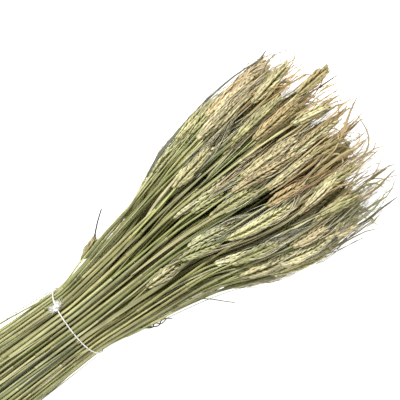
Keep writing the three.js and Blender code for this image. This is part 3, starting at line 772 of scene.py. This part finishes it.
def add_blade(skin, rng, path, half_width, curl, twist, tones, cell, lean=0.0):
    """A dry leaf blade along a path: a thin strip, folded along its midrib and twisted. Its face
    is turned outward, or by lean away from that."""
    share = np.linspace(0, 1, len(path))
    ahead = unit(np.gradient(path, axis=0))
    across = unit(np.cross(outward_from(path), ahead))
    over = np.cross(ahead, across)
    turn = (lean + twist * share)[:, None]
    across, over = (
        across * np.cos(turn) + over * np.sin(turn),
        over * np.cos(turn) - across * np.sin(turn),
    )
    wide = half_width * (0.35 + 0.65 * smoothstep(share, 0, 0.15)) * (1 - share**2.2) ** 0.7
    wide = (wide + BLADE_LEAST)[:, None]
    fold = (curl * (0.6 + 0.4 * np.sin(5 * share + twist)))[:, None]
    out = np.abs(BLADE_PLACES)
    sideways = wide * BLADE_PLACES * (1 - 0.25 * fold * BLADE_PLACES**2)
    lift = wide * fold * out**1.5 + BLADE_THICKNESS * BLADE_FACES
    places = path[:, None] + sideways[..., None] * across[:, None] + lift[..., None] * over[:, None]
    ribs = 1 + 0.12 * out + 0.06 * rng.standard_normal(len(out))
    flat = np.stack([
        np.broadcast_to((share * 100)[:, None], sideways.shape),
        sideways,
        np.broadcast_to(3 * BLADE_FACES, sideways.shape),
    ], -1)
    tints = (np.broadcast_to(tones, path.shape)[:, None] * ribs[:, None])[None]
    skin.add(held_in(places)[None], tints, grain_of(flat, rng)[None], np.array([cell]))


def blade_tones(rng, x, y):
    """A blade's colours along it: it turns brown towards the head end."""
    brown = rng.uniform(0.3, 1.0) * weathered(x, y)
    return mix(pick(BLADES, rng), pick(RUST, rng), brown)


def walked(heading, length):
    """How far ahead and how far aside a blade has come at each of its rows."""
    step = length / (BLADE_ROWS - 1)
    return np.cumsum(np.cos(heading)) * step, np.cumsum(np.sin(heading)) * step


def grow_blade(skin, rng, stalk, collar, length, lift, hook, cell):
    """The leaf blade that hangs from a sheath's collar, lies along its stalk and may hook aside."""
    share = np.linspace(0, 1, BLADE_ROWS)
    heading = rng.normal(0, BLADE_DRIFT) + hook * smoothstep(share, 0.55, 1.0) ** 1.5
    ahead, aside = walked(heading, length)
    far = collar + ahead - length / (BLADE_ROWS - 1)
    start = stalk.line.bend(np.array([[collar, 0.0, 0.0]]))
    out = outward_from(start)[0]
    turn = np.arctan2(out[2], out[1]) + rng.normal(0, 0.7) + rng.normal(0, 0.6) * share
    away = 2.0 + lift * share**1.2 * (1 + 0.2 * np.sin(7 * share + turn[0]))
    cos, sin = np.cos(turn), np.sin(turn)
    local = np.stack([far, away * cos - aside * sin, away * sin + aside * cos], -1)
    path = stalk.line.bend(local)
    tones = with_painted_shading(blade_tones(rng, path[:, 0], path[:, 1]), stalk.shade)
    half_width = rng.uniform(*BLADE_HALVES)
    add_blade(skin, rng, path, half_width, rng.uniform(0.2, 0.8), rng.normal(0, 1.1), tones, cell)


def bury_litter(skin, rng, low, high, cell):
    """Broken straws and broad dead blades deep inside, over a stretch of the bundle's width, darkened
    with painted shade so that the gaps between the stalks look dark.
    """
    for order, spot in enumerate(cells_in(cell, MAP_COLUMNS, BURIED // MAP_COLUMNS, BURIED)):
        p = rng.uniform(low, high)
        p = 0.96 * np.sign(p) * abs(p) ** 0.6
        end = min(rng.uniform(*BURIED_ENDS), AWN_END - 30 - ends_sooner(p))
        x = np.linspace(rng.uniform(*BURIED_STARTS), end, BLADE_ROWS)
        room = (1 - abs(p) ** BASE) ** (1 / BASE)
        height = core_at(x, waist) + room * rng.uniform(*BURIED_HEIGHTS)
        z = height + 3 * np.sin(x / 40 + rng.uniform(0, 6))
        path = np.stack([x, across_at(x, p), z], -1)
        straw = order % 2 == 1
        tones = with_painted_shading(pick(SHEATHS if straw else BLADES, rng), BURIED_PAINTED_SHADE)
        half_width = rng.uniform(*BURIED_HALVES)
        if straw:
            tube_along(skin, rng, path, half_width / 2, 6, tones, spot)
        else:
            add_blade(skin, rng, path, half_width, 0.3, rng.normal(0, 0.4), tones, spot)


def scatter_blades(skin, rng, low, high, cell):
    """Loose dry blades that lie among the ears, over a stretch of the bundle's width."""
    for spot in cells_in(cell, MAP_COLUMNS, LOOSE_BLADES // MAP_COLUMNS, LOOSE_BLADES):
        start = rng.uniform(*LOOSE_STARTS)
        p = rng.uniform(low, high) * 1.04
        limit = BLADE_LIMIT - ends_sooner(p)
        length = min(rng.uniform(*LOOSE_LENGTHS), limit - rng.exponential(12) - start)
        share = np.linspace(0, 1, BLADE_ROWS)
        hook = rng.normal(0, HOOKED) * smoothstep(start + length, 220, 270)
        ahead, aside = walked(rng.normal(0, 0.07) + hook * smoothstep(share, 0.5, 1.0), length)
        x = start + ahead
        y = across_at(x, p) + aside
        sunk = rng.uniform(5, 14) * (1 - share) ** 2 + rng.uniform(-3, 6) * share
        path = np.stack([x, y, surface_height(x, y) - sunk], -1)
        half_width = min(0.5 + rng.exponential(0.6), BLADE_HALVES[1])
        twist = rng.normal(0, 1.3)
        tones = blade_tones(rng, x, y)
        add_blade(skin, rng, path, half_width, rng.uniform(0.2, 0.9), twist, tones, spot)


# ------------ whole stalks


def browned(rng, line, tip):
    """How brown an ear is: most aren't, and those that are lie at the head end."""
    there = weathered(tip, line.y_at(tip))
    return rng.uniform(0.3, 1.0) if rng.random() < BROWN_SHARE * there else 0.0


def grow_stalk(skin, rng, stalk, cell=(0, 0, 1, 1)):
    """One whole stalk: its straw, its ear, and the blades that its sheaths still carry."""
    collars = grow_straw(skin, rng, stalk, part_of(cell, 0, 0, 0.5, 0.8))
    grow_ear(skin, rng, stalk, part_of(cell, 0.5, 0, 0.5, 1))
    for order, (collar, chance) in enumerate(zip(collars, stalk.leafy)):
        rounded = AWN_END - head_end(collar, stalk.line.y_at(collar))
        if collar > TIE[0] + TIE_CLEAR:
            end = min(BLADE_END + rng.normal(0, 9), BLADE_LIMIT) - rounded
        else:
            end = TIE[0] - TIE_CLEAR
        length = min(rng.uniform(*BLADE_LENGTHS), end - collar)
        if rng.random() > chance or length < SHORTEST_BLADE:
            continue
        lift = rng.uniform(1.0, 6.0) if order == 0 else rng.uniform(0.3, 1.6)
        hook = rng.normal(0, HOOKED if collar + length > HOOKS_FROM else 0.1)
        spot = part_of(cell, 0.16 * order, 0.82, 0.15, 0.16)
        grow_blade(skin, rng, stalk, collar, length, lift, hook, spot)


# ------------ materials


def make_material(name, along, across, detail, depth, contrast, rough, shine):
    """Dry fibre: the mesh's own tint, streaked and blotched by its grain, whose streaks repeat
    along and across so many times in a millimetre."""
    material = bpy.data.materials.new(name)
    material.use_nodes = True
    tree = material.node_tree
    link = tree.links.new
    shader = tree.nodes["Principled BSDF"]
    set_inputs(shader, {"Specular IOR Level": shine})

    def node(kind, **settings):
        made = tree.nodes.new(kind)
        for key, value in settings.items():
            setattr(made, key, value)
        return made

    def noise(scale, fineness):
        stretch = node("ShaderNodeMapping")
        set_inputs(stretch, {"Scale": scale})
        link(grain.outputs["Vector"], stretch.inputs["Vector"])
        texture = node("ShaderNodeTexNoise")
        set_inputs(texture, {"Scale": 1.0, "Detail": fineness, "Roughness": 0.62})
        link(stretch.outputs["Vector"], texture.inputs["Vector"])
        return texture.outputs["Fac"]

    def ranged(value, low, high):
        fit = node("ShaderNodeMapRange")
        set_inputs(fit, {"From Min": 0.3, "From Max": 0.7, "To Min": low, "To Max": high})
        link(value, fit.inputs["Value"])
        return fit.outputs["Result"]

    def product(a, b):
        times = node("ShaderNodeMath", operation="MULTIPLY")
        link(a, times.inputs[0])
        link(b, times.inputs[1])
        return times.outputs["Value"]

    tint = node("ShaderNodeAttribute", attribute_name="tint")
    grain = node("ShaderNodeAttribute", attribute_name="grain")
    fibre = noise((along, across, across), detail)
    blotch = noise((along * 1.6, across * 0.16, across * 0.16), 2.0)
    light = product(ranged(fibre, 1 - contrast, 1 + contrast), ranged(blotch, 0.82, 1.16))
    shaded = node("ShaderNodeVectorMath", operation="SCALE")
    link(tint.outputs["Vector"], shaded.inputs[0])
    link(light, shaded.inputs["Scale"])
    link(shaded.outputs["Vector"], shader.inputs["Base Color"])
    link(ranged(fibre, rough - 0.12, rough + 0.12), shader.inputs["Roughness"])
    bump = node("ShaderNodeBump")
    set_inputs(bump, {"Strength": 0.7, "Distance": depth / METRE})
    link(fibre, bump.inputs["Height"])
    link(bump.outputs["Normal"], shader.inputs["Normal"])
    return material


wheat = make_material(
    "dry_wheat", along=0.04, across=0.9, detail=5.0, depth=0.3, contrast=0.36, rough=0.5, shine=0.35
)
leaf = make_material(
    "dry_leaf", along=0.04, across=1.1, detail=4.0, depth=0.3, contrast=0.32, rough=0.6, shine=0.35
)
cotton = make_material(
    "cotton_string", along=0.9, across=2.2, detail=3.0, depth=0.2, contrast=0.1, rough=0.85, shine=0.2
)

# ------------ loose ends


def add_loose_ends(skin, node):
    """The loose blades and stems that stand out of one node's stalks. On the map they lie past
    the stalks and the blades."""
    rng = np.random.default_rng([7, len(node)])
    found = LOOSE_ENDS.get(node, [])
    for order, (kind, half_width, rise, colour, knots) in enumerate(found):
        way = np.array(knots) + TIE
        far = np.linspace(0, len(way) - 1, 16)
        x, y = [smooth(np.arange(len(way)), column, far) for column in way.T]
        z = surface_height(x[-1], y[-1]) + rise + np.linspace(LOOSE_DROOP, 0, len(x))
        path = np.stack([x, y, z], -1)
        cell = (0, 0.98 + 0.02 * order / len(found), 0.48, 0.016 / len(found))
        if kind == "blade":
            add_blade(skin, rng, path, half_width, 0.4, rng.normal(0, 0.6), linear(colour), cell)
        else:
            taper = np.linspace(1.0, 0.7, len(path))
            tube_along(skin, rng, path, half_width * taper, 5, linear(colour), cell)


# ------------ the outer stalks


def ear_foot(sections):
    """Where the last section lies that is as thin as the straw."""
    straw = sections[1].reach
    return max(section.x for section in sections[:-1] if abs(section.reach - straw) < 0.05)


outer_names = sorted(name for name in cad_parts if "stalk" in name and "inner" not in name)
outer_lines = []
for order, name in enumerate(outer_names):
    rng = np.random.default_rng([3, order])
    sections = sections_of(name)
    line, tip = stalk_line(sections), sections[-1].x
    outer_lines.append(line)
    stray = name == "stray_stalk"
    stalk = Stalk(
        line=line, cut=sections[0].x, base=ear_foot(sections), tip=tip,
        straw_size=STRAY_STRAW if stray else rng.uniform(*STRAW_SIZES),
        ear_size=STRAY_EAR if stray else rng.uniform(*OUTER_EARS),
        husks=HUSKS, awned=0 if stray else AWN_SHARE,
        rust=1.0 if name in BROWN_EARS else OUTER_RUST * browned(rng, line, tip),
        shade=1.0, straw_shades=OUTER_STRAW_PAINTED_SHADES, leafy=[] if stray else OUTER_LEAVES,
    )
    skin = Skin()
    grow_stalk(skin, rng, stalk)
    add_loose_ends(skin, name)
    skin.build(name, wheat)

# ------------ the inner stalks


def inner_places(rng):
    """Where the inner stalks pass the tie: shares of the half width and of the height."""
    at = np.searchsorted(core_x, TIE[0])
    found = []
    for row, z in enumerate(np.arange(under[at], top[at], INNER_SPACING * ROW_SHARE)):
        for y in np.arange(-half[at], half[at], INNER_SPACING) + (row % 2) * INNER_SPACING / 2:
            p = (y + rng.normal(0, JOSTLED)) / half[at]
            rise = z + rng.normal(0, JOSTLED) - waist[at]
            upper = rise > 0
            q = rise / ((top if upper else under)[at] - waist[at])
            power = DOME if upper else BASE
            if abs(p) ** power + q**power < INNER_REACH**DEPTH_POWER:
                found.append((p, q, upper))
    return found


def inner_line(rng, p, q, upper, base, lift):
    """Along the bundle an inner stalk keeps its place in the outline, but for a slight wander, and
    but for its ear, which its neighbours lift."""
    side = int(p > 0)
    free = WANDER * (1 - 0.7 * p**4) * np.clip(abs(core_x - TIE[0]) / WANDER_FULL, 0, 1)
    waves = [free * np.sin(core_x / rng.uniform(45, 90) + rng.uniform(0, 6.3)) for _ in range(2)]
    rise = (top if upper else under) - waist
    spread = 1 + SPREAD[side] * smoothstep(core_x, *SPREAD_AT)
    spread = spread - NARROWER[side] * smoothstep(core_x, *NARROWER_AT)
    lifted = lift * smoothstep(core_x, base - 70, base - 5)
    y = middle + p * half * spread + waves[0]
    return Line(core_x, y, waist + q * rise + 0.7 * waves[1] + lifted)


def inner_stalk(rng, order, end, p, q, upper):
    """One of a handful's stalks, whose last ears end at end."""
    depth = abs(p) ** DEPTH_POWER + q**DEPTH_POWER
    near = bool(depth > NEAR_SURFACE)
    first = FIRST_EARS[near]
    last = min(end, AWN_END - INNER_SHORT - ends_sooner(p))
    tip = first + (last - first) * ((order * EVENLY + rng.uniform(0, 0.2)) % 1) ** EARLY_EARS
    # painted shade: the deeper a stalk lies in the bundle, the darker it is
    shade = np.interp(depth, [DEEP, NEAR_SURFACE], INNER_PAINTED_SHADES)
    base = tip - rng.uniform(*EAR_LENGTHS)
    lift = rng.uniform(*EAR_LIFT) * smoothstep(tip, *LIFTED_AT) if near and upper else 0.0
    line = inner_line(rng, p, q, upper, base, lift)
    return Stalk(
        line=line, cut=shared[0] + rng.uniform(-1, 7), base=base, tip=tip,
        straw_size=rng.uniform(*STRAW_SIZES), ear_size=rng.uniform(*INNER_EARS),
        husks=HUSKS if near else AWNED_HUSKS, awned=INNER_AWNS[near],
        rust=browned(rng, line, tip), shade=shade * EAR_PAINTED_SHADES[near],
        straw_shades=shade * INNER_STRAW_PAINTED_SHADES, leafy=INNER_LEAVES[near],
    )


rng = np.random.default_rng(17)
members = {name: [] for name in handfuls}
for p, q, upper in inner_places(rng):
    column = 1 + int(np.searchsorted(COLUMN_LIMITS, p))
    members[f"inner_stalks_{'top' if upper else 'under'}_{column}"].append((p, q, upper))

for name, places in members.items():
    skin = Skin()
    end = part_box(name)[1].x * METRE + INNER_PAST
    for order, place in enumerate(places):
        stalk = inner_stalk(rng, order, end, *place)
        cell = (0, STALKS_ON_MAP * order / len(places), 1, STALKS_ON_MAP / len(places))
        grow_stalk(skin, rng, stalk, cell)
    add_loose_ends(skin, name)
    column = int(name[-1])
    low, high = [-1, *COLUMN_LIMITS, 1][column - 1 : column + 1]
    add_blades = scatter_blades if "top" in name else bury_litter
    add_blades(skin, rng, low, high, BLADES_ON_MAP)
    skin.build(name, wheat)

# ------------ dry leaves

for order, (foot_tone, tip_tone, width, lean) in enumerate(LEAVES):
    name = f"dry_leaf_{order + 1}"
    rng = np.random.default_rng([5, order])
    sections = sections_of(name)
    x = np.linspace(sections[0].middle[0], sections[-1].middle[0], 24)
    path = np.stack([x, *middle_at(sections, x)], -1)
    half_width = width * max(section.reach for section in sections)
    tones = mix(linear(foot_tone), linear(tip_tone), np.linspace(0, 1, len(x)))
    skin = Skin()
    add_blade(skin, rng, path, half_width, 0.5, rng.normal(0, 0.5), tones, (0, 0, 1, 1), lean)
    skin.build(name, leaf)

# ------------ the string


def string_path(count):
    """The taut loop round the outer stalks, seen along x: the hull of their sections, set off."""
    around = np.array([[line.y_at(TIE[0] - 6), line.z_at(TIE[0] - 6)] for line in outer_lines])
    centre = around.mean(0)
    turns = np.linspace(0, 2 * np.pi, count, endpoint=False)
    ways = np.stack([np.cos(turns), np.sin(turns)], -1)
    # The support of the hull in each direction, then the point where neighbouring supports meet.
    support = ((around - centre) @ ways.T).max(0) + STRAW_OUTSIDE + STRING_RADIUS
    slope = np.gradient(np.concatenate([support[-3:], support, support[:3]]), 2 * np.pi / count)[3:-3]
    aside = np.stack([-np.sin(turns), np.cos(turns)], -1)
    points = centre + support[:, None] * ways + slope[:, None] * aside
    for _ in range(ROUNDS):
        points = (np.roll(points, 1, 0) + 2 * points + np.roll(points, -1, 0)) / 4
    return points


def wound(path, radius, turn_length, phase):
    """A ply wound round a closed path."""
    ahead = np.roll(path, -1, 0) - np.roll(path, 1, 0)
    step = np.linalg.norm(ahead, axis=1, keepdims=True) / 2
    ahead /= 2 * step
    across = unit(np.cross(ahead, [1.0, 0, 0]))
    over = np.cross(ahead, across)
    total = step.sum()
    turns = round(total / turn_length)
    angle = (np.cumsum(step) / total * turns * 2 * np.pi + phase)[:, None]
    return path + radius * (np.cos(angle) * across + np.sin(angle) * over)


def resampled(points, count):
    """The closed path through the points, at even steps."""
    closed = np.concatenate([points, points[:1]])
    far = np.concatenate([[0], np.cumsum(np.linalg.norm(np.diff(closed, axis=0), axis=1))])
    at = np.linspace(0, far[-1], count, endpoint=False)
    return np.stack([np.interp(at, far, column) for column in closed.T], -1)


def tie_the_knot(skin, rng, knot):
    """Turns of the string over each other, and the fibres of its frayed ends."""
    share = np.linspace(0, 1, 80)
    for order in range(KNOT_TURNS):
        turn = 2 * np.pi * (1.4 * share + order / KNOT_TURNS)
        size = KNOT_HALVES * rng.uniform(0.8, 1.1, 3)
        coil = [np.cos(turn), np.sin(turn + order), np.sin(2 * turn + order)]
        cell = (0, 0.25 + 0.05 * order, 1, 0.04)
        tube_along(skin, rng, knot + size * np.stack(coil, -1), KNOT_STRAND, 6, STRING, cell)
    share = np.linspace(0, 1, 7)[:, None]
    for order in range(FIBRES):
        tail = TAILS[order % len(TAILS)]
        way = np.append(tail + rng.normal(0, 0.28, 2), 0.1 + 0.2 * rng.random())
        curl = rng.normal(0, 0.9, 3) * share**2
        start = knot + rng.normal(0, 1, 3) * [0.8, 0.8, 0.5]
        hair = start + way * rng.uniform(*FIBRE_LENGTHS) * share + curl - share**2 * [0, 0, 1.2]
        cell = (order % 20 / 20, 0.5 + order // 20 * 0.015, 0.045, 0.013)
        tube_along(skin, rng, hair, FIBRE_RADIUS * (1.2 - 0.7 * share[:, 0]), 3, STRING, cell)


rng = np.random.default_rng(29)
loop = resampled(string_path(240), STRING_STEPS)
lowest, highest = loop[:, 1].min(), loop[:, 1].max()
halfway = (highest + lowest) / 2
rise = np.clip((loop[:, 1] - halfway) / (highest - halfway), 0, 1)
loop = np.column_stack([TIE[0] - 1 - STRING_BOW * rise**0.8, loop])
loop[:, 2] = np.maximum(loop[:, 2], STRING_RADIUS)
skin = Skin()
for order, phase in enumerate((0, np.pi)):
    ply = wound(loop, PLY_RADIUS * 0.8, PLY_TURN, phase)
    ply = np.concatenate([ply, ply[:2]])
    tube_along(skin, rng, ply, PLY_RADIUS, 6, STRING, (0, 0.1 * order, 1, 0.09))

# The knot lies on the upper side of the loop.
upper_side = np.where(loop[:, 2] > halfway, 100, 0)
at = np.argmin(abs(loop[:, 1] - (TIE[1] + KNOT_Y)) - upper_side)
tie_the_knot(skin, rng, loop[at] + [0, 0, KNOT_LIFT])
skin.build("string_tie", cotton)

# ------------ the setting


def make_floor():
    far = FLOOR_HALF
    mesh = bpy.data.meshes.new("floor")
    mesh.from_pydata([(-far, -far, 0), (far, -far, 0), (far, far, 0), (-far, far, 0)], [], [range(4)])
    material = bpy.data.materials.new("pale_floor")
    material.use_nodes = True
    set_inputs(material.node_tree.nodes["Principled BSDF"], {
        "Base Color": (0.9, 0.9, 0.9, 1),
        "Roughness": 0.9,
        "Emission Color": (1, 1, 1, 1),
        "Emission Strength": FLOOR_GLOW,
    })
    mesh.materials.append(material)
    make_object("floor", mesh)


def make_light(name, place, size, power):
    data = bpy.data.lights.new(name, "AREA")
    data.shape = "DISK"
    data.size = size
    data.energy = power
    light = make_object(name, data)
    light.location = place
    light.rotation_euler = (LIT_POINT - Vector(place)).to_track_quat("-Z", "Y").to_euler()


camera_data = bpy.data.cameras.new("camera")
camera_data.lens = LENS
camera_data.sensor_width = SENSOR
camera = make_object("camera", camera_data)
distance = PICTURE_WIDTH * LENS / SENSOR
camera.location = (*PICTURE_MIDDLE, SUBJECT_HEIGHT + distance)
camera.rotation_euler = Euler((0, 0, -np.radians(PICTURE_TURN)))
bpy.context.scene.camera = camera

make_floor()
make_light("key", place=(-0.25, 1.4, 1.9), size=0.5, power=55.0)
make_light("fill", place=(0.9, -1.3, 1.7), size=2.0, power=8.0)

world = bpy.data.worlds.new("studio")
world.use_nodes = True
set_inputs(world.node_tree.nodes["Background"], {"Color": (1, 1, 1, 1), "Strength": SKY_STRENGTH})
bpy.context.scene.world = world
bpy.context.scene.view_settings.view_transform = "Standard"
